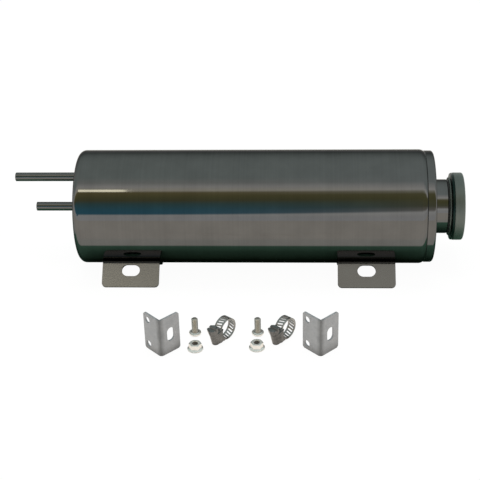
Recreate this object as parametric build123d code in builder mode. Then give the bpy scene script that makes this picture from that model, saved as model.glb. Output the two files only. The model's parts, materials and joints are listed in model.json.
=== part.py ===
"""Coolant overflow tank with its screw cap and fitting kit.

The tank is a welded stainless cylinder that lies on its belly and on the edges of its two
mounting tabs. Millimetres. The origin is on the tank's axis at the closed end, +X runs along
the axis towards the filler cap, +Z is up and the kit lies in front, towards -Y.
"""
from build123d import *
import math
import os

# Tank body
tank_radius = 38.1
tank_wall = 1.5
body_length = 230.4
closed_end_radius = 4.5
rolled_edge_length = 3.2
rolled_edge_drop = 1.0

# End cover and its weld seam
seam_width = 0.6
seam_weld_depth = 0.35
cover_step = 0.8
cover_height = 5.5
cover_wall = 1.5
cover_corner_radius = 1.8

# Filler neck
neck_radius = 18.0
neck_bore_radius = 15.0
neck_height = 9.5
neck_lip_chamfer = 0.5
neck_mouth_chamfer = 0.4
neck_inner_reach = 2.0
neck_weld_leg = 1.0

# Screw cap and gasket
gasket_thickness = 0.8
gasket_inner_radius = 15.4
gasket_outer_radius = 17.4
cap_radius = 22.5
cap_head_height = 9.6
cap_back_radius = 18.7
cap_bevel_height = 1.7
cap_bevel_radius = 22.3
cap_groove_start = 2.6
cap_groove_width = 0.5
cap_groove_depth = 0.35
cap_front_chamfer = 1.0
thread_pitch = 2.5
cap_turns = 4
spigot_clearance = 0.1
spigot_lead_out = 1.0
spigot_wall = 2.4
spigot_end_chamfer = 0.8
spigot_floor = 2.6

# Pipes in the closed end
pipe_radius = 3.0
pipe_bore_radius = 2.1
pipe_step = 0.3
pipe_end_chamfer = 0.3
feed_tube_reach = 30.3
feed_tube_inner_end = 4.0
overflow_tube_reach = 46.5
overflow_offset = 21.5
standpipe_top_gap = 12.0
pipe_weld_leg = 0.9

# Mounting tabs
tab_angle = 49.0
tab_thickness = 1.5
tab_width = 38.0
tab_bend_radius = 1.5
tab_corner_radius = 2.8
left_tab_inset = 36.0
right_tab_inset = 38.0
saddle_angle = 31.0
saddle_corner_radius = 2.5
tab_weld_leg = 1.2
tab_weld_angle = 16.0
slot_length = 12.0
slot_width = 8.0
slot_edge_distance = 11.5

# Angle brackets of the kit
bracket_height = 26.0
bracket_leg = 15.3
bracket_thickness = 1.2
bracket_inner_bend = 1.0
bracket_corner_radius = 1.8
bracket_hole_radius = 2.15
bracket_hole_edge = 3.7
bracket_hole_inset = 4.3
bracket_slot_length = 9.4
bracket_slot_width = 5.5
bracket_slot_inset = 8.3

# Button-head screws, M4 by 10
screw_radius = 2.0
screw_length = 10.0
screw_tip_chamfer = 0.4
button_radius = 3.8
button_height = 2.2
button_rim_height = 0.35
button_shoulder_radius = 3.2
button_shoulder_height = 0.8
button_top_radius = 1.9
socket_across_flats = 2.5
socket_depth = 1.3

# Flange nuts, M4
nut_across_flats = 7.0
nut_height = 4.4
nut_flange_radius = 4.9
nut_flange_rim = 0.8
nut_flange_height = 1.5
nut_bore_radius = 1.75
nut_edge_height = 0.4
nut_edge_width = 0.7

# Worm-drive hose clamps
hose_radius = 6.4
band_thickness = 0.65
band_layers = 2
band_width = 5.6
band_tail_before = 34.0
band_tail_after = 48.0
band_slot_count = 20
band_slot_pitch = 16.0
band_slot_length = 3.8
band_slot_width = 0.85
band_slot_slant = 14.0
housing_length = 8.0
housing_wall = 0.65
housing_side_gap = 0.1
saddle_thickness = 0.6
worm_radius = 2.0
worm_clearance = 0.08
worm_head_across_flats = 6.0
worm_head_height = 3.2
worm_head_gap = 0.15
worm_collar_height = 0.8
worm_collar_radius = 2.9
worm_slot_width = 0.9
worm_slot_depth = 1.2
clamp_heading = 52.0

# Places of the kit pieces on the surface, as (x, y)
bracket_places = {"left": (64.6, -121.4), "right": (161.4, -120.4)}
screw_places = {"left": (83.5, -97.4), "right": (122.6, -97.0)}
nut_places = {"left": (84.7, -112.7), "right": (122.5, -111.3)}
clamp_places = {"left": (102.3, -99.5), "right": (139.6, -98.9)}

# What follows from the sizes above
floor_z = -tank_radius
cover_radius = tank_radius - cover_step
tab_centres = (left_tab_inset, body_length - right_tab_inset)
cover_start = body_length + seam_width
cover_front = cover_start + cover_height
neck_end = cover_front + neck_height
cap_back = neck_end + gasket_thickness
cap_front = cap_back + cap_head_height
spigot_radius = neck_bore_radius - spigot_clearance
spigot_length = cap_turns * thread_pitch - spigot_lead_out
pipe_inner_radius = pipe_radius - pipe_step
standpipe_end = cover_start - standpipe_top_gap
tab_direction = Vector(0, -math.sin(math.radians(tab_angle)), -math.cos(math.radians(tab_angle)))
tab_normal = Vector(1, 0, 0).cross(tab_direction)
tab_tip_radius = (floor_z - tab_normal.Z * tab_thickness / 2) / tab_direction.Z
overflow_axis = tab_direction * -overflow_offset
band_outer = hose_radius + band_thickness
band_top = hose_radius + band_layers * band_thickness
worm_centre = band_top + worm_clearance + worm_radius
housing_top = worm_centre + worm_radius + worm_clearance + housing_wall
housing_half_width = band_width / 2 + housing_side_gap + housing_wall

os.makedirs("parts", exist_ok=True)


def save(builder, name):
    """Label a finished piece and write its STEP file."""
    builder.part.label = name
    export_step(builder.part, f"parts/{name}.step")


def polar(radius, degrees):
    """Point at a radius and an angle in the drawing plane."""
    return (radius * math.cos(math.radians(degrees)), radius * math.sin(math.radians(degrees)))


# Shell: a revolved cup with a rounded closed end, its rim rolled inwards at the seam
inner_radius = tank_radius - tank_wall
roll_start = body_length - rolled_edge_length
with BuildPart() as tank_shell:
    with BuildSketch(Plane.XY):
        with BuildLine():
            Polyline((roll_start, inner_radius), (tank_wall, inner_radius), (tank_wall, 0))
            Polyline((tank_wall, 0), (0, 0), (0, tank_radius), (roll_start, tank_radius))
            outer_end = (body_length, tank_radius - rolled_edge_drop)
            inner_end = (body_length, inner_radius - rolled_edge_drop)
            TangentArc((roll_start, tank_radius), outer_end, tangent=(1, 0))
            TangentArc((roll_start, inner_radius), inner_end, tangent=(1, 0))
            Line(outer_end, inner_end)
        profile = make_face()
        corners = profile.vertices().filter_by(lambda v: v.Y > tank_wall)
        fillet(corners.sort_by(Axis.X)[0], closed_end_radius)
        fillet(corners.sort_by(Axis.X)[1], closed_end_radius - tank_wall)
    revolve(axis=Axis.X)
    with BuildSketch(Plane.YZ):
        Circle(pipe_inner_radius)
        with Locations((overflow_axis.Y, overflow_axis.Z)):
            Circle(pipe_inner_radius)
    extrude(amount=tank_wall, mode=Mode.SUBTRACT)
save(tank_shell, "tank_shell")

# Weld ring between shell and cover, lying just below both surfaces
with BuildPart() as seam_weld:
    with BuildSketch(Plane.YZ.offset(body_length)):
        Circle(cover_radius - seam_weld_depth)
        Circle(cover_radius - cover_wall, mode=Mode.SUBTRACT)
    extrude(amount=seam_width)
save(seam_weld, "seam_weld")

# Cover: a shallow pressed cup with a hole for the neck
with BuildPart() as end_cover:
    with BuildSketch(Plane.XY):
        with BuildLine():
            Polyline(
                (cover_start, cover_radius),
                (cover_front, cover_radius),
                (cover_front, neck_radius),
                (cover_front - cover_wall, neck_radius),
                (cover_front - cover_wall, cover_radius - cover_wall),
                (cover_start, cover_radius - cover_wall),
                close=True,
            )
        profile = make_face()
        front_corner = profile.vertices().group_by(Axis.X)[-1].sort_by(Axis.Y)[-1]
        fillet(front_corner, cover_corner_radius)
    revolve(axis=Axis.X)
save(end_cover, "end_cover")

# Neck: a thick ring through the cover, with an eased lip and mouth
with BuildPart() as filler_neck:
    with BuildSketch(Plane.YZ.offset(cover_front - cover_wall - neck_inner_reach)):
        Circle(neck_radius)
        Circle(neck_bore_radius, mode=Mode.SUBTRACT)
    extrude(amount=neck_height + cover_wall + neck_inner_reach)
    mouth = filler_neck.edges().filter_by(GeomType.CIRCLE).group_by(Axis.X)[-1]
    chamfer(mouth.sort_by(SortBy.RADIUS)[-1], neck_lip_chamfer)
    mouth = filler_neck.edges().filter_by(GeomType.CIRCLE).group_by(Axis.X)[-1]
    chamfer(mouth.sort_by(SortBy.RADIUS)[0], neck_mouth_chamfer)
save(filler_neck, "filler_neck")


with BuildPart() as neck_weld:
    with BuildSketch(Plane.XY):
        with BuildLine():
            Polyline(
                (cover_front, neck_radius),
                (cover_front, neck_radius + neck_weld_leg),
                (cover_front + neck_weld_leg, neck_radius),
                close=True,
            )
        make_face()
    revolve(axis=Axis.X)
save(neck_weld, "neck_weld")


def pipe(centre, reach, end_x):
    """Pipe along X that steps down behind its weld, so that it can't slide into the tank."""
    with BuildPart() as tube:
        with BuildSketch(Plane.YZ.offset(-reach)):
            with Locations((centre.Y, centre.Z)):
                Circle(pipe_radius)
        extrude(amount=reach - pipe_weld_leg)
        rims = tube.edges().filter_by(GeomType.CIRCLE).group_by(Axis.X)
        chamfer(rims[0], pipe_end_chamfer)
        with BuildSketch(Plane.YZ.offset(-pipe_weld_leg)):
            with Locations((centre.Y, centre.Z)):
                Circle(pipe_inner_radius)
        extrude(amount=end_x + pipe_weld_leg)
        with BuildSketch(Plane.YZ.offset(-reach)):
            with Locations((centre.Y, centre.Z)):
                Circle(pipe_bore_radius)
        extrude(amount=reach + end_x, mode=Mode.SUBTRACT)
    return tube


def pipe_weld(centre):
    """Fillet weld round a pipe on the closed end, filled in to the part that enters the hole."""
    with BuildPart() as ring:
        with BuildSketch(Plane((0, centre.Y, centre.Z), x_dir=(1, 0, 0), z_dir=(0, 0, 1))):
            with BuildLine():
                Polyline(
                    (0, pipe_inner_radius),
                    (0, pipe_radius + pipe_weld_leg),
                    (-pipe_weld_leg, pipe_radius),
                    (-pipe_weld_leg, pipe_inner_radius),
                    close=True,
                )
            make_face()
        revolve(axis=Axis((0, centre.Y, centre.Z), (1, 0, 0)))
    return ring.part


tank_axis = Vector(0, 0, 0)
feed_tube = pipe(tank_axis, feed_tube_reach, feed_tube_inner_end)
save(feed_tube, "feed_tube")
overflow_tube = pipe(overflow_axis, overflow_tube_reach, standpipe_end)
save(overflow_tube, "overflow_tube")

with BuildPart() as tube_welds:
    for centre in (tank_axis, overflow_axis):
        add(pipe_weld(centre))
save(tube_welds, "tube_welds")


# Mounting tabs: a radial fin with a slot, bent over into a saddle on the far side of the shell
bend_centre_y = tab_thickness / 2 + tab_bend_radius
bend_centre_x = math.sqrt((tank_radius + tab_thickness + tab_bend_radius) ** 2 - bend_centre_y**2)
bend_angle = math.degrees(math.atan2(bend_centre_y, bend_centre_x))
bend_middle = (270 + 180 + bend_angle) / 2
saddle_middle = (bend_angle + saddle_angle) / 2
outer_bend = tab_bend_radius + tab_thickness


def bend_point(radius, degrees):
    """Point on the tab's bend, in the section of the tab."""
    x, y = polar(radius, degrees)
    return (bend_centre_x + x, bend_centre_y + y)


def mount_tab(centre_x):
    """Tab whose fin points along tab_direction, centred at centre_x along the tank."""
    section = Plane((centre_x - tab_width / 2, 0, 0), x_dir=tab_direction, z_dir=(1, 0, 0))
    fin_face = Plane(
        (centre_x, 0, 0) + tab_direction * (tab_tip_radius - slot_edge_distance),
        x_dir=(1, 0, 0),
        z_dir=tab_normal,
    )
    shell_side = tank_radius
    outer_side = tank_radius + tab_thickness
    with BuildPart() as tab:
        with BuildSketch(section):
            with BuildLine():
                Line((tab_tip_radius, tab_thickness / 2), (tab_tip_radius, -tab_thickness / 2))
                Line((tab_tip_radius, -tab_thickness / 2), bend_point(outer_bend, 270))
                ThreePointArc(
                    bend_point(outer_bend, 270),
                    bend_point(outer_bend, bend_middle),
                    polar(shell_side, bend_angle),
                )
                ThreePointArc(
                    polar(shell_side, bend_angle),
                    polar(shell_side, saddle_middle),
                    polar(shell_side, saddle_angle),
                )
                Line(polar(shell_side, saddle_angle), polar(outer_side, saddle_angle))
                ThreePointArc(
                    polar(outer_side, saddle_angle),
                    polar(outer_side, saddle_middle),
                    polar(outer_side, bend_angle),
                )
                ThreePointArc(
                    polar(outer_side, bend_angle),
                    bend_point(tab_bend_radius, bend_middle),
                    bend_point(tab_bend_radius, 270),
                )
                Line(bend_point(tab_bend_radius, 270), (tab_tip_radius, tab_thickness / 2))
            make_face()
        extrude(amount=tab_width)
        with BuildSketch(fin_face):
            SlotOverall(slot_length, slot_width)
        extrude(amount=tab_thickness, both=True, mode=Mode.SUBTRACT)
        tips = tab.edges().filter_by(Axis((0, 0, 0), tab_normal)).sort_by(
            lambda e: e.center().dot(tab_direction)
        )
        fillet(tips[-2:], tab_corner_radius)
        saddle_end = tab_direction.rotate(Axis.X, saddle_angle)
        ends = tab.edges().filter_by(Axis((0, 0, 0), saddle_end)).sort_by(
            lambda e: e.center().dot(tab_normal)
        )
        fillet(ends[-2:], saddle_corner_radius)
    return tab


tabs = {side: mount_tab(centre_x) for side, centre_x in zip(("left", "right"), tab_centres)}
for side, tab in tabs.items():
    save(tab, f"mount_tab_{side}")


def saddle_bead(end_x, direction):
    """Weld bead along one end of a saddle, between the saddle and the shell."""
    first_angle = saddle_middle - tab_weld_angle / 2
    radial = tab_direction.rotate(Axis.X, first_angle)
    with BuildPart() as bead:
        with BuildSketch(Plane((end_x, 0, 0), x_dir=(1, 0, 0), z_dir=Vector(1, 0, 0).cross(radial))):
            with BuildLine():
                Polyline(
                    (0, tank_radius),
                    (direction * tab_weld_leg, tank_radius),
                    (0, tank_radius + tab_weld_leg),
                    close=True,
                )
            make_face()
        revolve(axis=Axis.X, revolution_arc=tab_weld_angle)
    return bead.part


with BuildPart() as tab_welds:
    for centre_x in tab_centres:
        for direction in (-1, 1):
            add(saddle_bead(centre_x + direction * tab_width / 2, direction))
save(tab_welds, "tab_welds")

# Gasket between neck and cap
with BuildPart() as cap_gasket:
    with BuildSketch(Plane.YZ.offset(neck_end)):
        Circle(gasket_outer_radius)
        Circle(gasket_inner_radius, mode=Mode.SUBTRACT)
    extrude(amount=gasket_thickness)
save(cap_gasket, "cap_gasket")

# Cap: bevelled back, shallow groove, plain rim and a hollow spigot for the thread
spigot_end = cap_back - spigot_length
spigot_bore = spigot_radius - spigot_wall
spigot_bottom = cap_front - spigot_floor
groove_front = cap_groove_start + cap_groove_width
with BuildPart() as filler_cap:
    with BuildSketch(Plane.XY):
        with BuildLine():
            Polyline(
                (cap_front, 0),
                (cap_front, cap_radius),
                (cap_back + groove_front, cap_radius),
                (cap_back + groove_front, cap_radius - cap_groove_depth),
                (cap_back + cap_groove_start, cap_radius - cap_groove_depth),
                (cap_back + cap_bevel_height, cap_bevel_radius),
                (cap_back, cap_back_radius),
                (cap_back, spigot_radius),
                (spigot_end + spigot_end_chamfer, spigot_radius),
                (spigot_end, spigot_radius - spigot_end_chamfer),
                (spigot_end, spigot_bore),
                (spigot_bottom, spigot_bore),
                (spigot_bottom, 0),
                close=True,
            )
        profile = make_face()
        front_corner = profile.vertices().group_by(Axis.X)[-1].sort_by(Axis.Y)[-1]
        chamfer(front_corner, cap_front_chamfer)
    revolve(axis=Axis.X)
save(filler_cap, "filler_cap")


def angle_bracket(place):
    """Sheet angle standing on end, its bend towards -Y and a leg running back to each side."""
    outer_bend_radius = bracket_inner_bend + bracket_thickness
    corner = (place[0], place[1])
    standing = Plane((*corner, floor_z), x_dir=Vector(1, 1, 0).normalized(), z_dir=(0, 0, 1))
    left_leg = Plane((*corner, floor_z), x_dir=Vector(-1, 1, 0).normalized(), z_dir=(1, 1, 0))
    right_leg = Plane((*corner, floor_z), x_dir=Vector(1, 1, 0).normalized(), z_dir=(1, -1, 0))
    with BuildPart() as bracket:
        with BuildSketch(standing):
            with BuildLine():
                Polyline(
                    (bracket_leg, 0),
                    (bracket_leg, bracket_thickness),
                    (bracket_thickness, bracket_thickness),
                    (bracket_thickness, bracket_leg),
                    (0, bracket_leg),
                    (0, 0),
                    close=True,
                )
            outline = make_face()
            bend_corners = outline.vertices().sort_by_distance((0, 0, 0))
            fillet(bend_corners[0], outer_bend_radius)
            fillet(bend_corners[1], bracket_inner_bend)
        extrude(amount=bracket_height)
        with BuildSketch(left_leg):
            for height in (bracket_hole_inset, bracket_height - bracket_hole_inset):
                with Locations((bracket_leg - bracket_hole_edge, height)):
                    Circle(bracket_hole_radius)
        extrude(amount=2 * bracket_thickness, both=True, mode=Mode.SUBTRACT)
        with BuildSketch(right_leg):
            with Locations((bracket_slot_inset, bracket_height / 2)):
                SlotOverall(bracket_slot_length, bracket_slot_width, rotation=90)
        extrude(amount=2 * bracket_thickness, both=True, mode=Mode.SUBTRACT)
        for leg in (left_leg, right_leg):
            ends = bracket.edges().filter_by(Axis((0, 0, 0), leg.z_dir)).filter_by(
                lambda e: leg.to_local_coords(e.center()).X > bracket_leg - 0.01
            )
            fillet(ends, bracket_corner_radius)
    return bracket


def button_screw(place):
    """Button-head socket screw standing on its head."""
    head_top = floor_z + button_height
    tip = head_top + screw_length
    with BuildPart() as screw:
        with BuildSketch(Plane((*place, 0), x_dir=(1, 0, 0), z_dir=(0, -1, 0))):
            with BuildLine():
                Polyline(
                    (0, floor_z),
                    (button_top_radius, floor_z),
                    (button_shoulder_radius, floor_z + button_shoulder_height),
                    (button_radius, head_top - button_rim_height),
                    (button_radius, head_top),
                    (screw_radius, head_top),
                    (screw_radius, tip - screw_tip_chamfer),
                    (screw_radius - screw_tip_chamfer, tip),
                    (0, tip),
                    close=True,
                )
            make_face()
        revolve(axis=Axis((*place, 0), (0, 0, 1)))
        with BuildSketch(Plane((*place, floor_z))):
            RegularPolygon(socket_across_flats / 2, 6, major_radius=False)
        extrude(amount=socket_depth, mode=Mode.SUBTRACT)
    return screw


def flange_nut(place):
    """Hexagon nut with a conical flange, lying on its flange."""
    with BuildPart() as nut:
        with BuildSketch(Plane((*place, floor_z))):
            RegularPolygon(nut_across_flats / 2, 6, major_radius=False)
        extrude(amount=nut_height)
        with BuildSketch(Plane((*place, 0), x_dir=(1, 0, 0), z_dir=(0, -1, 0))):
            corner_radius = nut_across_flats / math.sqrt(3)
            nut_top = floor_z + nut_height
            with BuildLine():
                Polyline(
                    (0, floor_z),
                    (nut_flange_radius, floor_z),
                    (nut_flange_radius, nut_top - nut_edge_height),
                    (corner_radius, nut_top - nut_edge_height),
                    (corner_radius - nut_edge_width, nut_top),
                    (0, nut_top),
                    close=True,
                )
            make_face()
        revolve(axis=Axis((*place, 0), (0, 0, 1)), mode=Mode.INTERSECT)
        with BuildSketch(Plane((*place, 0), x_dir=(1, 0, 0), z_dir=(0, -1, 0))):
            with BuildLine():
                Polyline(
                    (0, floor_z),
                    (nut_flange_radius, floor_z),
                    (nut_flange_radius, floor_z + nut_flange_rim),
                    (nut_across_flats / 2, floor_z + nut_flange_height),
                    (0, floor_z + nut_flange_height),
                    close=True,
                )
            make_face()
        revolve(axis=Axis((*place, 0), (0, 0, 1)))
        with BuildSketch(Plane((*place, floor_z))):
            Circle(nut_bore_radius)
        extrude(amount=nut_height, mode=Mode.SUBTRACT)
    return nut


for side in ("left", "right"):
    save(angle_bracket(bracket_places[side]), f"mounting_bracket_{side}")
    save(button_screw(screw_places[side]), f"bracket_screw_{side}")
    save(flange_nut(nut_places[side]), f"bracket_nut_{side}")


# Hose clamps: the ring stands on its band and on the lower corner of the screw housing.
# Each is drawn in a plane through its centre: x out to the housing, y along the worm, z along
# the hose.
corner_reach = math.hypot(housing_top, housing_length / 2)
corner_angle = math.degrees(math.atan2(housing_length / 2, housing_top))
housing_angle = 180 + math.degrees(math.asin(band_outer / corner_reach)) - corner_angle


def clamp_plane(place):
    """Plane of a clamp's ring, with its x axis out through the screw housing."""
    heading = math.radians(clamp_heading)
    across = Vector(math.cos(heading), math.sin(heading), 0)
    out = across * math.cos(math.radians(housing_angle))
    out += Vector(0, 0, math.sin(math.radians(housing_angle)))
    return Plane(
        (*place, floor_z + band_outer), x_dir=out, z_dir=across.cross(Vector(0, 0, 1))
    )


def clamp_band(plane):
    """Perforated band: a full turn of strip with a second layer at the housing."""
    with BuildPart() as band:
        with BuildSketch(plane.offset(-band_width / 2)):
            Circle(band_outer)
            with BuildLine():
                start = polar(band_outer - band_thickness / 2, -band_tail_before)
                CenterArc((0, 0), band_top, -band_tail_before, band_tail_before + band_tail_after)
                Line(polar(band_top, -band_tail_before), start)
                CenterArc(
                    (0, 0),
                    band_outer - band_thickness / 2,
                    -band_tail_before,
                    band_tail_before + band_tail_after,
                )
                Line(
                    polar(band_outer - band_thickness / 2, band_tail_after),
                    polar(band_top, band_tail_after),
                )
            make_face()
            Circle(hose_radius, mode=Mode.SUBTRACT)
        extrude(amount=band_width)
        for index in range(band_slot_count):
            degrees = band_tail_before + (index + 0.5) * band_slot_pitch
            out = plane.x_dir.rotate(Axis(plane.origin, plane.z_dir), degrees)
            cut = Plane(plane.origin + out * hose_radius, x_dir=plane.z_dir, z_dir=out)
            with BuildSketch(cut):
                Rectangle(band_slot_length, band_slot_width, rotation=band_slot_slant)
            extrude(amount=band_top - hose_radius + band_thickness, both=True, mode=Mode.SUBTRACT)
    return band


def clamp_housing(plane):
    """Housing: arch over the worm, side cheeks and a curved saddle inside the band."""
    foot = hose_radius - saddle_thickness
    roof_radius = worm_radius + worm_clearance + housing_wall
    ends = Plane(plane.origin, x_dir=plane.x_dir, z_dir=plane.z_dir.cross(plane.x_dir))
    with BuildPart() as housing:
        with BuildSketch(ends.offset(-housing_length / 2)):
            with BuildLine():
                Polyline(
                    (0, -housing_half_width),
                    (band_top + housing_wall, -housing_half_width),
                    (worm_centre, -roof_radius),
                )
                ThreePointArc(
                    (worm_centre, -roof_radius),
                    (worm_centre + roof_radius, 0),
                    (worm_centre, roof_radius),
                )
                Polyline(
                    (worm_centre, roof_radius),
                    (band_top + housing_wall, housing_half_width),
                    (0, housing_half_width),
                    (0, -housing_half_width),
                )
            make_face()
        extrude(amount=housing_length)
        with BuildSketch(ends.offset(-housing_length / 2)):
            with Locations((worm_centre, 0)):
                Circle(worm_radius + worm_clearance)
        extrude(amount=housing_length, mode=Mode.SUBTRACT)
        with BuildSketch(plane.offset(-band_width / 2 - housing_side_gap)):
            Circle(band_top + worm_clearance)
            Circle(hose_radius, mode=Mode.SUBTRACT)
        extrude(amount=band_width + 2 * housing_side_gap, mode=Mode.SUBTRACT)
        with BuildSketch(plane):
            Circle(foot)
        extrude(amount=housing_half_width, both=True, mode=Mode.SUBTRACT)
    return housing


def clamp_screw(plane):
    """Worm screw along the housing, with a collar and a slotted hexagon head."""
    axis_start = plane.origin + plane.x_dir * worm_centre
    along = plane.z_dir.cross(plane.x_dir)
    half = housing_length / 2
    seat = Plane(axis_start, x_dir=plane.x_dir, z_dir=along)
    head_start = -half - worm_head_gap - worm_collar_height
    with BuildPart() as screw:
        with BuildSketch(seat.offset(head_start)):
            Circle(worm_radius)
        extrude(amount=2 * half + worm_head_gap + worm_collar_height)
        with BuildSketch(seat.offset(head_start)):
            Circle(worm_collar_radius)
        extrude(amount=worm_collar_height)
        with BuildSketch(seat.offset(head_start)):
            RegularPolygon(worm_head_across_flats / 2, 6, major_radius=False)
        extrude(amount=-worm_head_height)
        with BuildSketch(seat.offset(head_start - worm_head_height)):
            Rectangle(worm_slot_width, 2 * worm_head_across_flats)
        extrude(amount=worm_slot_depth, mode=Mode.SUBTRACT)
    return screw


for side, place in clamp_places.items():
    ring_plane = clamp_plane(place)
    save(clamp_band(ring_plane), f"clamp_band_{side}")
    save(clamp_housing(ring_plane), f"clamp_housing_{side}")
    save(clamp_screw(ring_plane), f"clamp_screw_{side}")
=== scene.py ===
"""Looks of the coolant overflow tank and its fitting kit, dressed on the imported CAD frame.

The pieces modelled here are written in millimetres.
"""

import json
import math

import bmesh
import bpy
from mathutils import Matrix, Vector

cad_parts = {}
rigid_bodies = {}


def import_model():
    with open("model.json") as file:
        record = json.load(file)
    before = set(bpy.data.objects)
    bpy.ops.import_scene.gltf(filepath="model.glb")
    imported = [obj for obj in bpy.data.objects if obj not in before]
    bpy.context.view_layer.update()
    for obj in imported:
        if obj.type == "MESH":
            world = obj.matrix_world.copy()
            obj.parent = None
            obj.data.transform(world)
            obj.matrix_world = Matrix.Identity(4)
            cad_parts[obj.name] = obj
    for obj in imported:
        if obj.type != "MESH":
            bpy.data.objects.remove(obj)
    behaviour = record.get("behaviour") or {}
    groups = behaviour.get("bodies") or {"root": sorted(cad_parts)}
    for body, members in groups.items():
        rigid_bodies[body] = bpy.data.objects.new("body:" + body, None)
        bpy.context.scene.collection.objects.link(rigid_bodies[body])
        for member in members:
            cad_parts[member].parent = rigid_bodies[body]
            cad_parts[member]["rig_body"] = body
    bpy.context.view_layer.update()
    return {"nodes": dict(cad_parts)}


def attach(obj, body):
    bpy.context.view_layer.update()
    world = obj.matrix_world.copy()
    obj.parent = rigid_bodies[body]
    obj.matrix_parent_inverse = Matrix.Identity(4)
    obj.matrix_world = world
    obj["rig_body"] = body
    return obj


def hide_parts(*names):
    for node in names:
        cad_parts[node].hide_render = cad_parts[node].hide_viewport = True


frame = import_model()

MM = 0.001
TURN = 2 * math.pi
SIDES = ("left", "right")

# Sizes that repeat the part's source, in millimetres
TANK_RADIUS = 38.1
TAB_CENTRES = (36.0, 192.4)
TAB_HALF_WIDTH = 19.0
COVER_FRONT = 236.5
NECK_RADIUS = 18.0
NECK_BORE = 15.0
NECK_END = 246.0
CAP_BACK = 246.8
CAP_FRONT = 256.4
CAP_RADIUS = 22.5
SPIGOT_RADIUS = 14.9
SPIGOT_HOLLOW = 12.5
CAP_PITCH = 2.5
PIPE_RADIUS = 3.0
OVERFLOW_OFFSET = 21.5
OVERFLOW_ANGLE = math.radians(49)
SCREW_RADIUS = 2.0
SCREW_PITCH = 0.7
BUTTON_RADIUS = 3.8
BUTTON_HEIGHT = 2.2
NUT_FLATS = 7.0
NUT_HEIGHT = 4.4
NUT_BORE = 1.75
FLANGE_RADIUS = 4.9
BAND_OUTER = 7.05
HOUSING_TOP = 12.51
HOUSING_LENGTH = 8.0
WORM_CENTRE = 9.78
WORM_RADIUS = 2.0
CLAMP_HEADING = math.radians(52)
BRACKET_BENDS = {"left": 64.6, "right": 161.4}
SCREW_PLACES = {"left": (83.5, -97.4), "right": (122.6, -97.0)}
NUT_PLACES = {"left": (84.7, -112.7), "right": (122.5, -111.3)}
CLAMP_PLACES = {"left": (102.3, -99.5), "right": (139.6, -98.9)}


# Camera
CAMERA_PLACE = Vector((152.67, -745.04, 409.16)) * MM
CAMERA_HEADING = math.radians(-3.487)
CAMERA_PITCH = math.radians(30.267)
CAMERA_ROLL = math.radians(-1.689)
SENSOR_WIDTH = 36
LENS = 94.55
FARTHEST_SEEN = 20


def make_camera():
    """Camera at the photograph's viewing angle."""
    forward = Vector((
        math.sin(CAMERA_HEADING) * math.cos(CAMERA_PITCH),
        math.cos(CAMERA_HEADING) * math.cos(CAMERA_PITCH),
        -math.sin(CAMERA_PITCH),
    ))
    level = forward.cross(Vector((0, 0, 1))).normalized()
    upward = level.cross(forward)
    across = math.cos(CAMERA_ROLL) * level + math.sin(CAMERA_ROLL) * upward
    up = math.cos(CAMERA_ROLL) * upward - math.sin(CAMERA_ROLL) * level
    data = bpy.data.cameras.new("camera")
    data.sensor_width = SENSOR_WIDTH
    data.lens = LENS
    data.clip_end = FARTHEST_SEEN
    camera = bpy.data.objects.new("camera", data)
    bpy.context.scene.collection.objects.link(camera)
    turn = Matrix((across, up, -forward)).transposed().to_4x4()
    camera.matrix_world = Matrix.Translation(CAMERA_PLACE) @ turn
    bpy.context.scene.camera = camera


make_camera()
bpy.context.scene.view_settings.view_transform = "Standard"


# Node helpers, with the numbers of the mix node's sockets for colours
MIX_SHARE, MIX_FIRST, MIX_SECOND, MIX_COLOUR = 0, 6, 7, 2


def node(tree, kind, inputs=None, **settings):
    """Add a node, set its options and set or link its inputs; returns the node."""
    made = tree.nodes.new(kind)
    for key, value in settings.items():
        setattr(made, key, value)
    for key, value in (inputs or {}).items():
        feed(tree, made.inputs[key], value)
    return made


def feed(tree, socket, value):
    """Link a socket's value to an input, or set it as a constant."""
    if isinstance(value, bpy.types.NodeSocket):
        tree.links.new(value, socket)
    else:
        socket.default_value = value


def maths(tree, operation, *values):
    """Math node's output for numbers or sockets."""
    return node(tree, "ShaderNodeMath", dict(enumerate(values)), operation=operation).outputs[0]


def separate(tree, vector):
    """The x, y and z of a vector."""
    return node(tree, "ShaderNodeSeparateXYZ", {0: vector}).outputs


def spread(tree, value, low, high, span=(0.3, 0.7)):
    """Map a value's span, by default most of a noise's, to the range low to high."""
    inputs = {
        "Value": value, "From Min": span[0], "From Max": span[1], "To Min": low, "To Max": high,
    }
    return node(tree, "ShaderNodeMapRange", inputs).outputs[0]


def noise(tree, place, scale, detail, roughness=0.5):
    """Grey noise."""
    inputs = {"Vector": place, "Scale": scale, "Detail": detail, "Roughness": roughness}
    return node(tree, "ShaderNodeTexNoise", inputs).outputs[0]


def bumped(tree, height, strength, distance):
    """Surface normal bumped by a height."""
    inputs = {"Height": height, "Strength": strength, "Distance": distance}
    return node(tree, "ShaderNodeBump", inputs).outputs[0]


def blend_colours(tree, factor, first, second):
    """Mix of two colours, given as colours or sockets."""
    inputs = {MIX_SHARE: factor, MIX_FIRST: first, MIX_SECOND: second}
    return node(tree, "ShaderNodeMix", inputs, data_type="RGBA").outputs[MIX_COLOUR]


def ramp(tree, value, stops):
    """Colour ramp through stops of (position, colour), in rising order."""
    made = node(tree, "ShaderNodeValToRGB", {"Fac": value})
    elements = made.color_ramp.elements
    for end, (position, colour) in zip(elements, (stops[0], stops[-1])):
        end.position = position
        end.color = (*colour, 1)
    for position, colour in stops[1:-1]:
        elements.new(position).color = (*colour, 1)
    return made.outputs[0]


def grey(value, warmth=0.0):
    """Grey as a colour with alpha, a little warmer or cooler."""
    return (value * (1 + warmth), value, value * (1 - warmth), 1)


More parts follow.
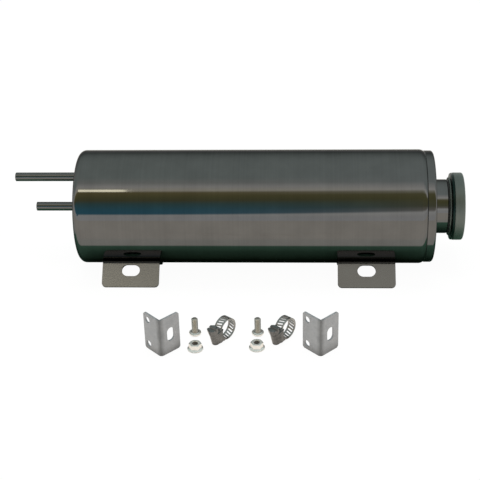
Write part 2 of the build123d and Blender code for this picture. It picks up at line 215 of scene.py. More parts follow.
# Materials
LINE_SHARE = 0.45
BEND_SHADE_SHARE = 0.62
BEND_SHADE_COLOUR = grey(0.08)
BEND_SHADE_EDGE = (0.8 * MM, 3.2 * MM)
BEND_SHADE_RAGGEDNESS = 1.2 * MM
CORNER_SHADE_SHARE = 0.85
CORNER_SHADE_COLOUR = grey(0.02)
ALONG_X = (0, 1, 2)
ALONG_Z = (2, 0, 1)
TURNED_GRAIN = (2600, 2600, 1)


def new_material(name):
    """Empty material; returns it, its node tree and the object's coordinates in it."""
    material = bpy.data.materials.new(name)
    material.use_nodes = True
    tree = material.node_tree
    tree.nodes.clear()
    return material, tree, node(tree, "ShaderNodeTexCoord").outputs["Object"]


def set_surface(tree, inputs):
    """Give a material a principled surface with these inputs."""
    shader = node(tree, "ShaderNodeBsdfPrincipled", inputs).outputs[0]
    node(tree, "ShaderNodeOutputMaterial", {"Surface": shader})


def round_axis(tree, place, axes):
    """Coordinates along the axis and the radius of a turned piece."""
    parts = separate(tree, place)
    axis, first, second = (parts[index] for index in axes)
    squares = maths(tree, "ADD", maths(tree, "MULTIPLY", first, first),
                    maths(tree, "MULTIPLY", second, second))
    radius = maths(tree, "SQRT", squares)
    return node(tree, "ShaderNodeCombineXYZ", {0: axis, 1: radius}).outputs[0]


def shade_along_bend(tree, colour, place, cloud, bend_x):
    """Painted shade: colour darkened along a sheet's bend, with a ragged edge."""
    offset = maths(tree, "ABSOLUTE", maths(tree, "SUBTRACT", separate(tree, place)[0], bend_x))
    ragged = maths(tree, "ADD", offset, maths(tree, "MULTIPLY", cloud, BEND_SHADE_RAGGEDNESS))
    share = spread(tree, ragged, BEND_SHADE_SHARE, 0.0, span=BEND_SHADE_EDGE)
    return blend_colours(tree, share, colour, BEND_SHADE_COLOUR)


def shade_in_corners(tree, colour, reach):
    """Painted shade: colour darkened in the corners, as far from their bottom as reach."""
    open_share = node(tree, "ShaderNodeAmbientOcclusion", {"Distance": reach}, samples=6)
    share = spread(tree, open_share.outputs["AO"], CORNER_SHADE_SHARE, 0.0, span=(0.15, 0.85))
    return blend_colours(tree, share, colour, CORNER_SHADE_COLOUR)


def metal(name, dark, light, rough, grain, bump, patch=70.0, axes=None, speckle=0.0,
          metallic=1.0, bend_x=None, crevice=0.0, edge=1.0):
    """Metal with brushed grain and cloudy patches, and painted shade along a bend and in corners.

    dark and light are the ends of its colour, rough those of its roughness. grain says how many
    grains a metre holds along x, y and z, or, for a turned piece with its axes given, along the
    axis and the radius. bump is the grain's strength, patch how many patches a metre holds, and
    speckle adds finer grains. bend_x is where a sheet's bend stands, along which a band of
    painted shade darkens the colour. crevice is how far the painted shade in its corners
    reaches, and edge the brightness of its grazing reflections.
    """
    material, tree, place = new_material(name)
    laid = round_axis(tree, place, axes) if axes else place
    stretched = node(tree, "ShaderNodeMapping", {"Vector": laid, "Scale": grain}).outputs[0]
    lines = noise(tree, stretched, scale=1.0, detail=5.0, roughness=0.6)
    cloud = noise(tree, place, scale=patch, detail=4.0, roughness=0.55)
    both = maths(tree, "ADD", maths(tree, "MULTIPLY", lines, LINE_SHARE),
                 maths(tree, "MULTIPLY", cloud, 1 - LINE_SHARE))
    colour = blend_colours(tree, spread(tree, both, 0, 1, span=(0.38, 0.62)), dark, light)
    # painted shade along the sheet's bend
    if bend_x is not None:
        colour = shade_along_bend(tree, colour, place, cloud, bend_x)
    # painted shade in the corners, deepest at their bottom
    if crevice:
        colour = shade_in_corners(tree, colour, crevice)
    height = lines
    if speckle:
        grains = noise(tree, place, scale=2600.0, detail=3.0, roughness=0.7)
        height = maths(tree, "ADD", lines, maths(tree, "MULTIPLY", grains, speckle))
    set_surface(tree, {
        "Base Color": colour, "Metallic": metallic, "Specular Tint": grey(edge),
        "Roughness": spread(tree, both, *rough), "Normal": bumped(tree, height, bump, 0.1 * MM),
    })
    return material


def weld_metal(name):
    """Weld metal with its heat colours: straw, brown and blue in patches."""
    material, tree, place = new_material(name)
    cloud = noise(tree, place, scale=260.0, detail=5.0, roughness=0.6)
    colour = ramp(tree, cloud, (
        (0.30, (0.10, 0.10, 0.12)), (0.42, (0.16, 0.13, 0.09)), (0.52, (0.22, 0.17, 0.10)),
        (0.60, (0.12, 0.14, 0.19)), (0.70, (0.26, 0.24, 0.20)),
    ))
    set_surface(tree, {
        "Base Color": colour, "Metallic": 1.0, "Roughness": spread(tree, cloud, 0.22, 0.42),
        "Normal": bumped(tree, cloud, 0.4, 0.2 * MM),
    })
    return material


def rubber(name):
    """Black sealing rubber with a dusty, faintly mottled skin."""
    material, tree, place = new_material(name)
    dust = noise(tree, place, scale=900.0, detail=4.0)
    set_surface(tree, {
        "Base Color": blend_colours(tree, spread(tree, dust, 0, 1), grey(0.012), grey(0.035)),
        "Roughness": spread(tree, dust, 0.55, 0.8), "Normal": bumped(tree, dust, 0.3, 0.1 * MM),
    })
    return material


polished = metal("polished_steel", grey(0.130), grey(0.150), (0.030, 0.060), (900, 60, 60),
                 0.012, axes=ALONG_X, edge=0.30)
pipe = metal("pipe_steel", grey(0.125), grey(0.155), (0.15, 0.20), (40, 500, 500), 0.012,
             edge=0.35)
satin = metal("satin_steel", (0.145, 0.165, 0.155, 1), (0.185, 0.205, 0.195, 1), (0.48, 0.60),
              TURNED_GRAIN, 0.10, axes=ALONG_X)
# painted shade: dark green-grey metal for the cap's bevelled back, which lies in shade
cap_back_shade = metal("cap_back_shade_steel", (0.010, 0.022, 0.020, 1), (0.022, 0.040, 0.036, 1),
                  (0.30, 0.42), TURNED_GRAIN, 0.10, axes=ALONG_X)
seam_metal = metal("seam_steel", grey(0.030), grey(0.055), (0.30, 0.45), (900, 400, 400), 0.30)
tab_metal = metal("tab_steel", grey(0.150, 0.03), grey(0.172, 0.02), (0.24, 0.30),
                  (60, 1100, 1100), 0.025, edge=0.5)
bracket_metals = {
    side: metal(f"bracket_steel_{side}", (0.355, 0.365, 0.395, 1), (0.445, 0.450, 0.480, 1),
                (0.42, 0.56), (500, 500, 1300), 0.25, patch=220.0, speckle=1.0, metallic=0.6,
                bend_x=BRACKET_BENDS[side] * MM, crevice=10 * MM)
    for side in SIDES
}
bright = metal("bright_steel", grey(0.80, 0.03), grey(0.94, 0.015), (0.22, 0.34),
               TURNED_GRAIN, 0.08, axes=ALONG_Z, metallic=0.85, crevice=2 * MM)
thread_metal = metal("thread_steel", grey(0.36, 0.10), grey(0.52, 0.07), (0.30, 0.42),
                     TURNED_GRAIN, 0.08, axes=ALONG_Z, crevice=1.5 * MM)
# painted shade: the nut's bore darkened as a hole lying in shade
bore_shade_metal = metal("bore_shade_steel", grey(0.12, 0.12), grey(0.20, 0.10), (0.30, 0.42),
                   TURNED_GRAIN, 0.08, axes=ALONG_Z, crevice=4 * MM)
clamp_metal = metal("clamp_steel", grey(0.19), grey(0.36), (0.16, 0.32), (1200, 1200, 500), 0.10,
                    patch=180.0, crevice=5 * MM)
housing_metal = metal("housing_steel", grey(0.09), grey(0.20), (0.16, 0.30), (1200, 500, 1200),
                      0.10, patch=180.0, crevice=4 * MM)
weld = weld_metal("weld_steel")
gasket = rubber("gasket_rubber")

node_materials = {
    "tank_shell": polished, "end_cover": polished, "seam_weld": seam_metal,
    "feed_tube": pipe, "overflow_tube": pipe, "cap_gasket": gasket,
}
for side in SIDES:
    node_materials[f"mount_tab_{side}"] = tab_metal
    node_materials[f"mounting_bracket_{side}"] = bracket_metals[side]
    node_materials[f"clamp_band_{side}"] = clamp_metal
    node_materials[f"clamp_housing_{side}"] = housing_metal
for name, material in node_materials.items():
    for slot in frame["nodes"][name].material_slots:
        slot.material = material


# Mesh helpers, in which a skin is a list of corners and a list of faces
def polar_loft(rings, segments, wrap=False):
    """Skin through rings about the z axis. A ring gives (radius, z) for an angle."""
    vertices, faces = [], []
    for ring in rings:
        for step in range(segments):
            angle = TURN * step / segments
            radius, height = ring(angle)
            vertices.append((radius * math.cos(angle), radius * math.sin(angle), height))
    count = len(rings)
    for row in range(count if wrap else count - 1):
        lower, upper = row * segments, (row + 1) % count * segments
        for step in range(segments):
            after = (step + 1) % segments
            faces.append((lower + step, lower + after, upper + after, upper + step))
    if not wrap:
        faces.append(tuple(reversed(range(segments))))
        faces.append(tuple(range((count - 1) * segments, count * segments)))
    return vertices, faces


def circle(radius, height):
    """Ring of one radius at one height."""
    return lambda angle: (radius, height)


def circles(*points):
    """Rings through the points of a turned profile, each (radius, height)."""
    return [circle(radius, height) for radius, height in points]


def hexagon(across_flats, angle):
    """Distance from the centre to the side of a hexagon with a corner at angle zero."""
    return across_flats / 2 / math.cos(angle % (TURN / 6) - TURN / 12)


def thread_ring(crest, depth, pitch, height):
    """Ring across a right-hand thread, its root depth inside the crest, or outside if negative."""
    def ring(angle):
        wave = abs(2 * ((height / pitch - angle / TURN) % 1) - 1)
        return crest - depth * wave, height
    return ring


def steps(start, end, size):
    """Values from start to end, no further apart than size."""
    count = max(1, math.ceil(abs(end - start) / size))
    return [start + (end - start) * index / count for index in range(count + 1)]


def joined(*skins):
    """Several skins as one."""
    vertices, faces = [], []
    for part_vertices, part_faces in skins:
        faces += [tuple(index + len(vertices) for index in face) for face in part_faces]
        vertices += part_vertices
    return vertices, faces


def moved(skin, x, y):
    """A skin moved across its axis."""
    vertices, faces = skin
    return [(corner[0] + x, corner[1] + y, corner[2]) for corner in vertices], faces


def along_tank(skin):
    """A skin made about the z axis, laid along the tank's axis."""
    vertices, faces = skin
    return [(z, x, y) for x, y, z in vertices], faces


IN_PLACE = Matrix.Identity(4)
FLOOR = -TANK_RADIUS * MM


def on_floor(x, y):
    """Place for a piece that stands on the floor."""
    return Matrix.Translation((x * MM, y * MM, FLOOR))


def piece(name, skin, material, body, replaced, place=IN_PLACE, sharp=32):
    """Make a mesh object at a place, shade it and let it stand for its CAD nodes."""
    vertices, faces = skin
    mesh = bpy.data.meshes.new(name)
    mesh.from_pydata([tuple(value * MM for value in corner) for corner in vertices], [], faces)
    mesh.validate()
    face_outwards(mesh)
    mesh.materials.append(material)
    for face in mesh.polygons:
        face.use_smooth = True
    mesh.set_sharp_from_angle(angle=math.radians(sharp))
    made = bpy.data.objects.new(name, mesh)
    bpy.context.scene.collection.objects.link(made)
    made.matrix_world = place
    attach(made, body)
    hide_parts(*replaced)
    return made


def face_outwards(mesh):
    """Turn every face of a closed mesh to look outwards."""
    shape = bmesh.new()
    shape.from_mesh(mesh)
    bmesh.ops.recalc_face_normals(shape, faces=shape.faces)
    shape.to_mesh(mesh)
    shape.free()


def second_material(made, material, chosen):
    """Give the faces of a piece whose centre, in millimetres, is chosen another material."""
    made.data.materials.append(material)
    for face in made.data.polygons:
        if chosen(face.center / MM):
            face.material_index = 1


# Neck and cap
THREAD_STEP = 0.25


def neck_skin():
    """Neck with a right-hand thread cut into its bore; heights are along the tank's axis."""
    inner_end, lip, mouth = 233, 0.5, 0.4
    thread_start, thread_end, thread_depth = 245.2, 235.2, 0.55
    run_in = 0.8
    rings = circles(
        (NECK_RADIUS, inner_end), (NECK_RADIUS, COVER_FRONT), (NECK_RADIUS, NECK_END - lip),
        (NECK_RADIUS - lip, NECK_END), (NECK_BORE + mouth, NECK_END),
        (NECK_BORE, NECK_END - mouth),
    )
    for height in steps(thread_start - 0.2, thread_end, THREAD_STEP):
        depth = thread_depth * min(1, (thread_start - height) / run_in)
        rings.append(thread_ring(NECK_BORE, -depth, CAP_PITCH, height))
    rings.append(circle(NECK_BORE, inner_end))
    return polar_loft(rings, segments=96, wrap=True)


def cap_skin():
    """Cap with its rim, groove, bevelled back and hollow threaded spigot."""
    centre, seat, floor, end = 0.2, 19.3, CAP_FRONT - 2.6, CAP_BACK - 9
    thread_depth = 0.6
    front = circles(
        (centre, CAP_FRONT), (7, CAP_FRONT), (14, CAP_FRONT), (CAP_RADIUS - 1.7, CAP_FRONT),
        (CAP_RADIUS - 1.0, CAP_FRONT), (CAP_RADIUS - 0.5, CAP_FRONT - 0.2),
        (CAP_RADIUS - 0.15, CAP_FRONT - 0.55), (CAP_RADIUS, CAP_FRONT - 1.1),
    )
    rim_and_groove = circles(
        (CAP_RADIUS, CAP_BACK + 6.4), (CAP_RADIUS, CAP_BACK + 3.3),
        (CAP_RADIUS - 0.12, CAP_BACK + 3.1), (CAP_RADIUS - 0.35, CAP_BACK + 3.05),
        (CAP_RADIUS - 0.35, CAP_BACK + 2.65), (CAP_RADIUS - 0.12, CAP_BACK + 2.6),
    )
    back = circles(
        (CAP_RADIUS - 0.2, CAP_BACK + 1.8), (CAP_RADIUS - 0.4, CAP_BACK + 1.5),
        (seat + 0.3, CAP_BACK + 0.95), (seat, CAP_BACK + 0.8), (seat, CAP_BACK + 0.15),
        (seat - 0.2, CAP_BACK), (SPIGOT_RADIUS, CAP_BACK),
    )
    thread = [thread_ring(SPIGOT_RADIUS, thread_depth, CAP_PITCH, height)
              for height in steps(CAP_BACK - 0.8, end + 0.8, THREAD_STEP)]
    hollow = circles(
        (SPIGOT_RADIUS - 0.7, end + 0.2), (SPIGOT_RADIUS - 1.0, end), (SPIGOT_HOLLOW, end),
        (SPIGOT_HOLLOW, floor - 0.3), (SPIGOT_HOLLOW - 0.3, floor), (centre, floor),
    )
    return polar_loft(front + rim_and_groove + back + thread + hollow, segments=128)


def make_neck_and_cap():
    """Polished neck, and satin cap with a band of painted shade along its bevelled back."""
    piece("neck", along_tank(neck_skin()), polished, "tank", ["filler_neck"])
    cap = piece("cap", along_tank(cap_skin()), satin, "cap", ["filler_cap"],
                sharp=26)
    # the band along the bevelled back is painted shade
    second_material(cap, cap_back_shade, lambda centre: (
        CAP_BACK + 0.9 < centre.x < CAP_BACK + 3.1 and centre.yz.length > NECK_RADIUS))


make_neck_and_cap()


# Weld beads
RIPPLE_STEPS = 6
RIPPLE_DEPTH = 0.10
BEAD_HOLLOW = 0.28
BEAD_POINTS = 7
END_SIZE = 0.35
END_TAPER = 6
SADDLE_END = math.radians(-113.5)
SADDLE_BEAD = math.radians(7.0)


def bead_skin(wall, radius, leg, direction, ripples, start=0.0, sweep=TURN):
    """Rippled fillet weld about the z axis, between a wall at a height and a round at a radius."""
    closed = sweep == TURN
    count = ripples * RIPPLE_STEPS
    vertices, faces = [], []
    for step in range(count if closed else count + 1):
        share = step / count
        angle = start + sweep * share
        lift = 1 - RIPPLE_DEPTH + RIPPLE_DEPTH * abs(math.sin(share * ripples * math.pi))
        if not closed:
            lift *= min(1, END_TAPER * share + END_SIZE, END_TAPER * (1 - share) + END_SIZE)
        for index in range(BEAD_POINTS):
            turn = math.pi / 2 * index / (BEAD_POINTS - 1)
            reach = leg * lift * (1 - BEAD_HOLLOW * math.sin(2 * turn))
            out = radius + reach * math.sin(turn)
            height = wall + direction * reach * math.cos(turn)
            vertices.append((out * math.cos(angle), out * math.sin(angle), height))
        vertices.append((radius * math.cos(angle), radius * math.sin(angle), wall))
    row = BEAD_POINTS + 1
    rows = len(vertices) // row
    for step in range(rows if closed else rows - 1):
        here, there = step * row, (step + 1) % rows * row
        for index in range(row):
            after = (index + 1) % row
            faces.append((here + index, here + after, there + after, there + index))
    if not closed:
        faces.append(tuple(range(row)))
        faces.append(tuple(reversed(range((rows - 1) * row, rows * row))))
    return vertices, faces


def make_weld_beads():
    """Beads round the neck and both pipes, and short ones at the ends of the tabs' saddles."""
    neck_bead = bead_skin(COVER_FRONT, NECK_RADIUS, leg=1.0, direction=1, ripples=64)
    pipe_bead = bead_skin(0, PIPE_RADIUS, leg=0.9, direction=-1, ripples=16)
    overflow_place = (OVERFLOW_OFFSET * math.sin(OVERFLOW_ANGLE),
                      OVERFLOW_OFFSET * math.cos(OVERFLOW_ANGLE))
    tube_beads = joined(pipe_bead, moved(pipe_bead, *overflow_place))
    tab_beads = joined(*(
        bead_skin(centre + side * TAB_HALF_WIDTH, TANK_RADIUS, leg=0.85, direction=side,
                  ripples=6, start=SADDLE_END, sweep=SADDLE_BEAD)
        for centre in TAB_CENTRES for side in (-1, 1)
    ))
    for name, skin, material, replaced in (
        ("neck_bead", neck_bead, weld, "neck_weld"),
        ("tube_beads", tube_beads, weld, "tube_welds"),
        ("tab_beads", tab_beads, seam_metal, "tab_welds"),
    ):
        piece(name, along_tank(skin), material, "tank", [replaced], sharp=60)


make_weld_beads()


# Screws and nuts
FINE_THREAD_STEP = SCREW_PITCH / 8


def screw_skin():
    """Button-head socket screw, M4 by 10, standing on its head."""
    centre, socket_flats, socket_depth, socket_ease = 0.1, 2.5, 1.3, 0.12
    dome_start, dome_end, dome_height, top_radius = 0.12, 1.85, 2.136, 1.9
    tip, thread_depth = 12.2, 0.36

    def socket(height, growth=0.0):
        return lambda angle: (hexagon(socket_flats, angle) + growth, height)

    rings = [circle(centre, socket_depth + 0.25), socket(socket_depth), socket(0.15),
             socket(0, socket_ease), circle(top_radius, 0)]
    for height in steps(dome_start, dome_end, size=0.22):
        share = (dome_end - height) / dome_height
        rings.append(circle(BUTTON_RADIUS * math.sqrt(1 - share ** 2), height))
    rings += circles(
        (BUTTON_RADIUS, BUTTON_HEIGHT - 0.15), (BUTTON_RADIUS - 0.12, BUTTON_HEIGHT),
        (SCREW_RADIUS + 0.2, BUTTON_HEIGHT), (SCREW_RADIUS - 0.1, BUTTON_HEIGHT + 0.2),
    )
    for height in steps(BUTTON_HEIGHT + 0.4, tip - 0.3, FINE_THREAD_STEP):
        rings.append(thread_ring(SCREW_RADIUS, thread_depth, SCREW_PITCH, height))
    rings += circles((SCREW_RADIUS - 0.38, tip - 0.1), (SCREW_RADIUS - 0.5, tip), (centre, tip))
    return polar_loft(rings, segments=48)


def nut_skin():
    """Hexagon flange nut, M4, with a chamfered top, a serrated flange and a threaded bore."""
    corner = NUT_FLATS / math.sqrt(3)
    flange_rim, flange_slope, teeth, tooth_height = 0.8, 0.5, 18, 0.09
    chamfer_height, chamfer_width, thread_depth = 0.4, 0.7, 0.25

    def flange_meets(angle):
        side = hexagon(NUT_FLATS, angle)
        return side, flange_rim + (FLANGE_RADIUS - side) * flange_slope

    def chamfer_meets(angle):
        side = hexagon(NUT_FLATS, angle)
        rise = (corner - side) * chamfer_height / chamfer_width
        return side, NUT_HEIGHT - chamfer_height + rise

    def serrated(radius, height):
        return lambda angle: (radius, height + tooth_height * ((angle / TURN * teeth) % 1))

    rings = [circle(NUT_BORE + 0.2, 0.25), circle(NUT_BORE + 0.65, 0.16), serrated(2.9, 0.02),
             serrated(FLANGE_RADIUS - 0.3, 0.0)]
    rings += circles(
        (FLANGE_RADIUS - 0.08, 0.12), (FLANGE_RADIUS, 0.25), (FLANGE_RADIUS, flange_rim - 0.1),
        (FLANGE_RADIUS - 0.08, flange_rim + 0.04),
    )
    rings += [flange_meets, chamfer_meets]
    rings += circles(
        (NUT_FLATS / 2 - 0.16, NUT_HEIGHT), (NUT_BORE + 0.4, NUT_HEIGHT),
        (NUT_BORE + thread_depth, NUT_HEIGHT - 0.2),
    )
    for height in steps(NUT_HEIGHT - 0.3, 0.4, FINE_THREAD_STEP):
        rings.append(thread_ring(NUT_BORE, -thread_depth, SCREW_PITCH, height))
    return polar_loft(rings, segments=72, wrap=True)


def make_screws_and_nuts():
    """Bright screws with duller threads, and bright nuts whose bores are darkened with painted
    shade.
    """
    for side in SIDES:
        screw = piece(f"screw_{side}", screw_skin(), bright, f"screw_{side}",
                      [f"bracket_screw_{side}"], on_floor(*SCREW_PLACES[side]), sharp=40)
        second_material(screw, thread_metal, lambda centre: centre.z > BUTTON_HEIGHT + 0.05)
        nut = piece(f"nut_{side}", nut_skin(), bright, f"nut_{side}",
                    [f"bracket_nut_{side}"], on_floor(*NUT_PLACES[side]), sharp=28)
        second_material(nut, bore_shade_metal, lambda centre: centre.xy.length < NUT_BORE + 0.3)


make_screws_and_nuts()


# Worm screws of the clamps
def prism(outline, base, end, chamfer=0.0):
    """Prism of a convex outline, from its base down to an end whose edge is chamfered."""
    middle = Vector((sum(x for x, y in outline), sum(y for x, y in outline))) / len(outline)
    levels = [(base, 0.0), (end + chamfer, 0.0)]
    if chamfer:
        levels.append((end, chamfer))
    vertices, faces = [], []
    for height, inset in levels:
        for corner in outline:
            away = Vector(corner) - middle
            x, y = middle + away * (1 - inset / away.length)
            vertices.append((x, y, height))
    count = len(outline)
    last = (len(levels) - 1) * count
    for row in range(0, last, count):
        for index in range(count):
            after = (index + 1) % count
            faces.append((row + index, row + after, row + count + after, row + count + index))
    faces.append(tuple(reversed(range(count))))
    faces.append(tuple(range(last, last + count)))
    return vertices, faces


def worm_skin():
    """Worm with a collar and a slotted hexagon head; the head points along -z."""
    centre, inner_end = 0.1, 4.0
    thread_end, thread_depth, pitch = -3.9, 0.55, 1.5
    collar_radius, collar_start, collar_end, collar_ease = 2.9, -4.15, -4.95, 0.15
    flat, slot_start, head_end, head_ease, half_slot = 3.0, -6.95, -8.15, 0.3, 0.45
    rings = circles((centre, inner_end), (WORM_RADIUS - 0.5, inner_end),
                    (WORM_RADIUS - 0.3, inner_end - 0.15))
    for height in steps(inner_end - 0.3, thread_end, size=0.14):
        rings.append(thread_ring(WORM_RADIUS, thread_depth, pitch, height))
    rings += circles(
        (WORM_RADIUS - 0.5, -inner_end), (WORM_RADIUS - 0.5, collar_start),
        (collar_radius - collar_ease, collar_start), (collar_radius, collar_start - collar_ease),
        (collar_radius, collar_end + collar_ease), (collar_radius - collar_ease, collar_end),
        (centre, collar_end),
    )
    corner = 2 * flat / math.sqrt(3)
    outline = [(corner * math.cos(TURN * index / 6), corner * math.sin(TURN * index / 6))
               for index in range(6)]
    right = [(half_slot, -flat), (corner / 2, -flat), (corner, 0), (corner / 2, flat),
             (half_slot, flat)]
    left = [(-x, y) for x, y in reversed(right)]
    return joined(
        polar_loft(rings, segments=40), prism(outline, collar_end, slot_start),
        prism(right, slot_start, head_end, head_ease),
        prism(left, slot_start, head_end, head_ease),
    )


def clamp_axes():
    """Directions of a resting clamp, out to its housing and along its hose."""
    half_length = HOUSING_LENGTH / 2
    reach = math.hypot(HOUSING_TOP, half_length)
    tilt = math.pi + math.asin(BAND_OUTER / reach) - math.atan2(half_length, HOUSING_TOP)
    across = Vector((math.cos(CLAMP_HEADING), math.sin(CLAMP_HEADING), 0))
    out = across * math.cos(tilt) + Vector((0, 0, math.sin(tilt)))
    hose = across.cross(Vector((0, 0, 1)))
    return out, hose


def make_worms():
    """Worm of each clamp, laid in its housing."""
    out, hose = clamp_axes()
    along = hose.cross(out)
    turn = Matrix((out, along.cross(out), along)).transposed()
    vertices, faces = worm_skin()
    for side, (x, y) in CLAMP_PLACES.items():
        centre = Vector((x, y, BAND_OUTER - TANK_RADIUS)) + out * WORM_CENTRE
        placed = [centre + turn @ Vector(corner) for corner in vertices]
        piece(f"worm_{side}", (placed, faces), housing_metal, f"worm_{side}",
              [f"clamp_screw_{side}"], sharp=35)


make_worms()


# Floor
FLOOR_HALF = 4
FLOOR_CENTRE = 0.1
FLOOR_GAP = 0.02 * MM
FLOOR_PAPER = (grey(0.94, 0.004), grey(0.96, 0.002))
FLOOR_GLOW = 1.02
GLOW_TINT = (1.0, 0.93, 0.83, 1)
GLOW_SEEN = 0.945
GLOW_MIRRORED_KIT, GLOW_MIRRORED_REST = 0.94, 0.50
KIT_EDGE = (-85 * MM, -70 * MM)
# painted shadow under the tank, seen only in mirrors
PAINTED_SHADOW_COLOUR = (0.20, 0.39, 0.29, 1)
SHADOW_EDGE = (53.0 * MM, 56.5 * MM)
SHADOW_MIDDLE = 5 * MM
SHADOW_ENDS = (165 * MM, 180 * MM)


def floor_material():
    """Paper that the camera sees near white, and mirrors too, except for a painted shadow under the
    tank.
    """
    material, tree, place = new_material("floor_paper")
    fibre = noise(tree, place, scale=40.0, detail=4.0)
    plain = blend_colours(tree, spread(tree, fibre, 0, 1), *FLOOR_PAPER)
    across, depth, _ = separate(tree, place)
    rays = node(tree, "ShaderNodeLightPath").outputs

    # painted shadow right under the tank, unseen by the camera, which the belly mirrors dark green
    beside = spread(tree, maths(tree, "ABSOLUTE", depth), 0, 1, span=SHADOW_EDGE)
    off_middle = maths(tree, "ABSOLUTE", maths(tree, "SUBTRACT", across, SHADOW_MIDDLE))
    around = maths(tree, "MAXIMUM", beside, spread(tree, off_middle, 0, 1, span=SHADOW_ENDS))
    pale = maths(tree, "MAXIMUM", around, rays["Is Camera Ray"])
    colour = blend_colours(tree, pale, PAINTED_SHADOW_COLOUR, plain)
    paper = node(tree, "ShaderNodeBsdfDiffuse", {"Color": colour}).outputs[0]

    tint = blend_colours(tree, rays["Is Camera Ray"], GLOW_TINT, grey(1.0))
    glow = node(tree, "ShaderNodeEmission", {"Color": tint, "Strength": FLOOR_GLOW}).outputs[0]
    seen = maths(tree, "MULTIPLY", rays["Is Camera Ray"], GLOW_SEEN)
    mirror = maths(tree, "MAXIMUM", rays["Is Glossy Ray"], rays["Is Transmission Ray"])
    by_place = spread(tree, depth, GLOW_MIRRORED_KIT, GLOW_MIRRORED_REST, span=KIT_EDGE)
    mirrored = maths(tree, "MULTIPLY", mirror, maths(tree, "MULTIPLY", around, by_place))
    share = maths(tree, "MAXIMUM", seen, mirrored)
    mixed = node(tree, "ShaderNodeMixShader", {0: share, 1: paper, 2: glow}).outputs[0]
    node(tree, "ShaderNodeOutputMaterial", {"Surface": mixed})
    return material


def make_floor():
    """Pale studio floor, a hair below the pieces that stand on it."""
    mesh = bpy.data.meshes.new("floor")
    corners = [(x * FLOOR_HALF, y * FLOOR_HALF, 0) for x, y in ((-1, -1), (1, -1), (1, 1), (-1, 1))]
    mesh.from_pydata(corners, [], [(0, 1, 2, 3)])
    floor = bpy.data.objects.new("floor", mesh)
    bpy.context.scene.collection.objects.link(floor)
    floor.location = (FLOOR_CENTRE, 0, FLOOR - FLOOR_GAP)
    mesh.materials.append(floor_material())


make_floor()


# World
CEILING = (0.56, 0.64, 0.61)
LEFT_TO_RIGHT = (-0.16, 0.10)
CLIMB_LOW, CLIMB_HIGH = 8, 3
CLIMB_SPAN = (12, 60)
HORIZON_EDGE = (0.08, 0.18)

# the studio's bands on either side, by their height in degrees above the horizon in front
BANDS_LEFT = (
    (0, (0.90, 0.88, 0.84)), (10, (1.05, 1.05, 1.02)), (13, (0.10, 0.32, 0.45)),
    (21, (0.10, 0.32, 0.43)), (33, (0.13, 0.26, 0.26)), (40, (0.22, 0.22, 0.12)),
    (46, (0.27, 0.26, 0.12)), (56, (0.40, 0.34, 0.15)), (60, (1.15, 1.08, 0.88)),
    (68, (1.05, 1.03, 0.98)), (76, (0.70, 0.72, 0.68)), (88, CEILING), (180, CEILING),
)
BANDS_RIGHT = (
    (0, (1.00, 0.99, 0.97)), (9, (1.15, 1.15, 1.12)), (14, (0.50, 0.47, 0.42)),
    (23, (0.27, 0.27, 0.17)), (40, (0.27, 0.26, 0.12)), (50, (0.32, 0.30, 0.15)),
    (56, (0.70, 0.68, 0.55)), (60, (1.20, 1.18, 1.12)), (67, (0.95, 0.95, 0.92)),
    (77, (0.62, 0.69, 0.68)), (180, CEILING),
)


def studio_bands(tree, height, bands):
    """Colour at a height in degrees, for bands that blend into each other."""
    half_turns = maths(tree, "DIVIDE", height, 180)
    return ramp(tree, half_turns, [(degrees / 180, colour) for degrees, colour in bands])


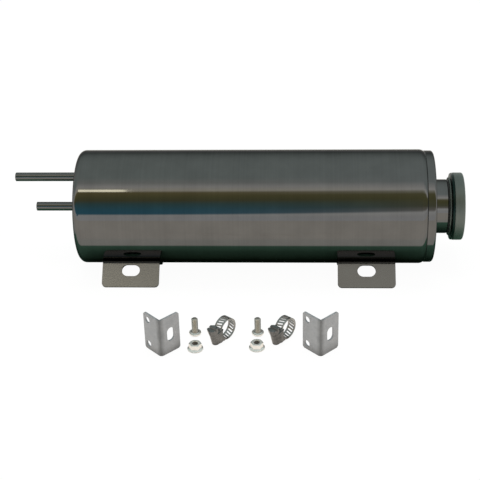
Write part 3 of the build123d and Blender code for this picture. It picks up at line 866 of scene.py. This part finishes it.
def make_world():
    """Soft studio: a pale ceiling, and the light and dark bands that the tank mirrors."""
    world = bpy.data.worlds.new("studio")
    bpy.context.scene.world = world
    world.use_nodes = True
    tree = world.node_tree
    tree.nodes.clear()
    sideways, away, upward = separate(tree, node(tree, "ShaderNodeTexCoord").outputs["Generated"])
    forward = maths(tree, "MULTIPLY", away, -1.0)
    height = maths(tree, "DEGREES", maths(tree, "ARCTAN2", upward, forward))
    across = spread(tree, sideways, 0, 1, span=LEFT_TO_RIGHT)
    right_share = maths(tree, "MULTIPLY", across, across)

    # the bands climb towards the right, the lower edge more than the upper one
    climb = spread(tree, height, CLIMB_LOW, CLIMB_HIGH, span=CLIMB_SPAN)
    height = maths(tree, "SUBTRACT", height, maths(tree, "MULTIPLY", right_share, climb))
    colour = blend_colours(tree, right_share, studio_bands(tree, height, BANDS_LEFT),
                           studio_bands(tree, height, BANDS_RIGHT))

    # a pale horizon all round, so that low views show no bands behind the object
    low = spread(tree, upward, 1, 0, span=HORIZON_EDGE)
    colour = blend_colours(tree, low, colour, grey(1.0))
    light = node(tree, "ShaderNodeBackground", {"Color": colour, "Strength": 1.0}).outputs[0]
    node(tree, "ShaderNodeOutputWorld", {"Surface": light})


make_world()


# Lamps
def make_lamp(name, place, aim, size, power, colour=(1, 1, 1)):
    """Soft area lamp pointing from place to aim."""
    data = bpy.data.lights.new(name, "AREA")
    data.shape = "RECTANGLE"
    data.size, data.size_y = size
    data.energy = power
    data.color = colour
    lamp = bpy.data.objects.new(name, data)
    bpy.context.scene.collection.objects.link(lamp)
    lamp.location = place
    lamp.rotation_euler = (Vector(aim) - Vector(place)).to_track_quat("-Z", "Y").to_euler()
    return lamp


def make_lamps():
    """Large lamp from above, and a strip that draws the highlight along the tank."""
    overhead = make_lamp("overhead", place=(0.12, 0.30, 1.5), aim=(0.12, -0.02, 0),
                         size=(0.9, 0.5), power=9.0)
    overhead.visible_glossy = False
    strip = make_lamp("strip", place=(-0.29, -0.676, 1.141), aim=(-0.29, 0, 0),
                      size=(0.28, 0.11), power=0.29, colour=(1.0, 0.93, 0.68))

    # the thin pipes don't catch the strip in the photograph
    past_strip = bpy.data.collections.new("past_strip")
    strip.light_linking.receiver_collection = past_strip
    for name in ("feed_tube", "overflow_tube"):
        past_strip.objects.link(frame["nodes"][name])
    for member in past_strip.collection_objects:
        member.light_linking.link_state = "EXCLUDE"


def hide_kit_from_mirrors():
    kit_bodies = ("bracket", "screw", "nut", "clamp", "worm")
    for thing in bpy.context.scene.objects:
        if thing.type == "MESH" and thing.get("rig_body", "").split("_")[0] in kit_bodies:
            thing.visible_glossy = False


make_lamps()
hide_kit_from_mirrors()
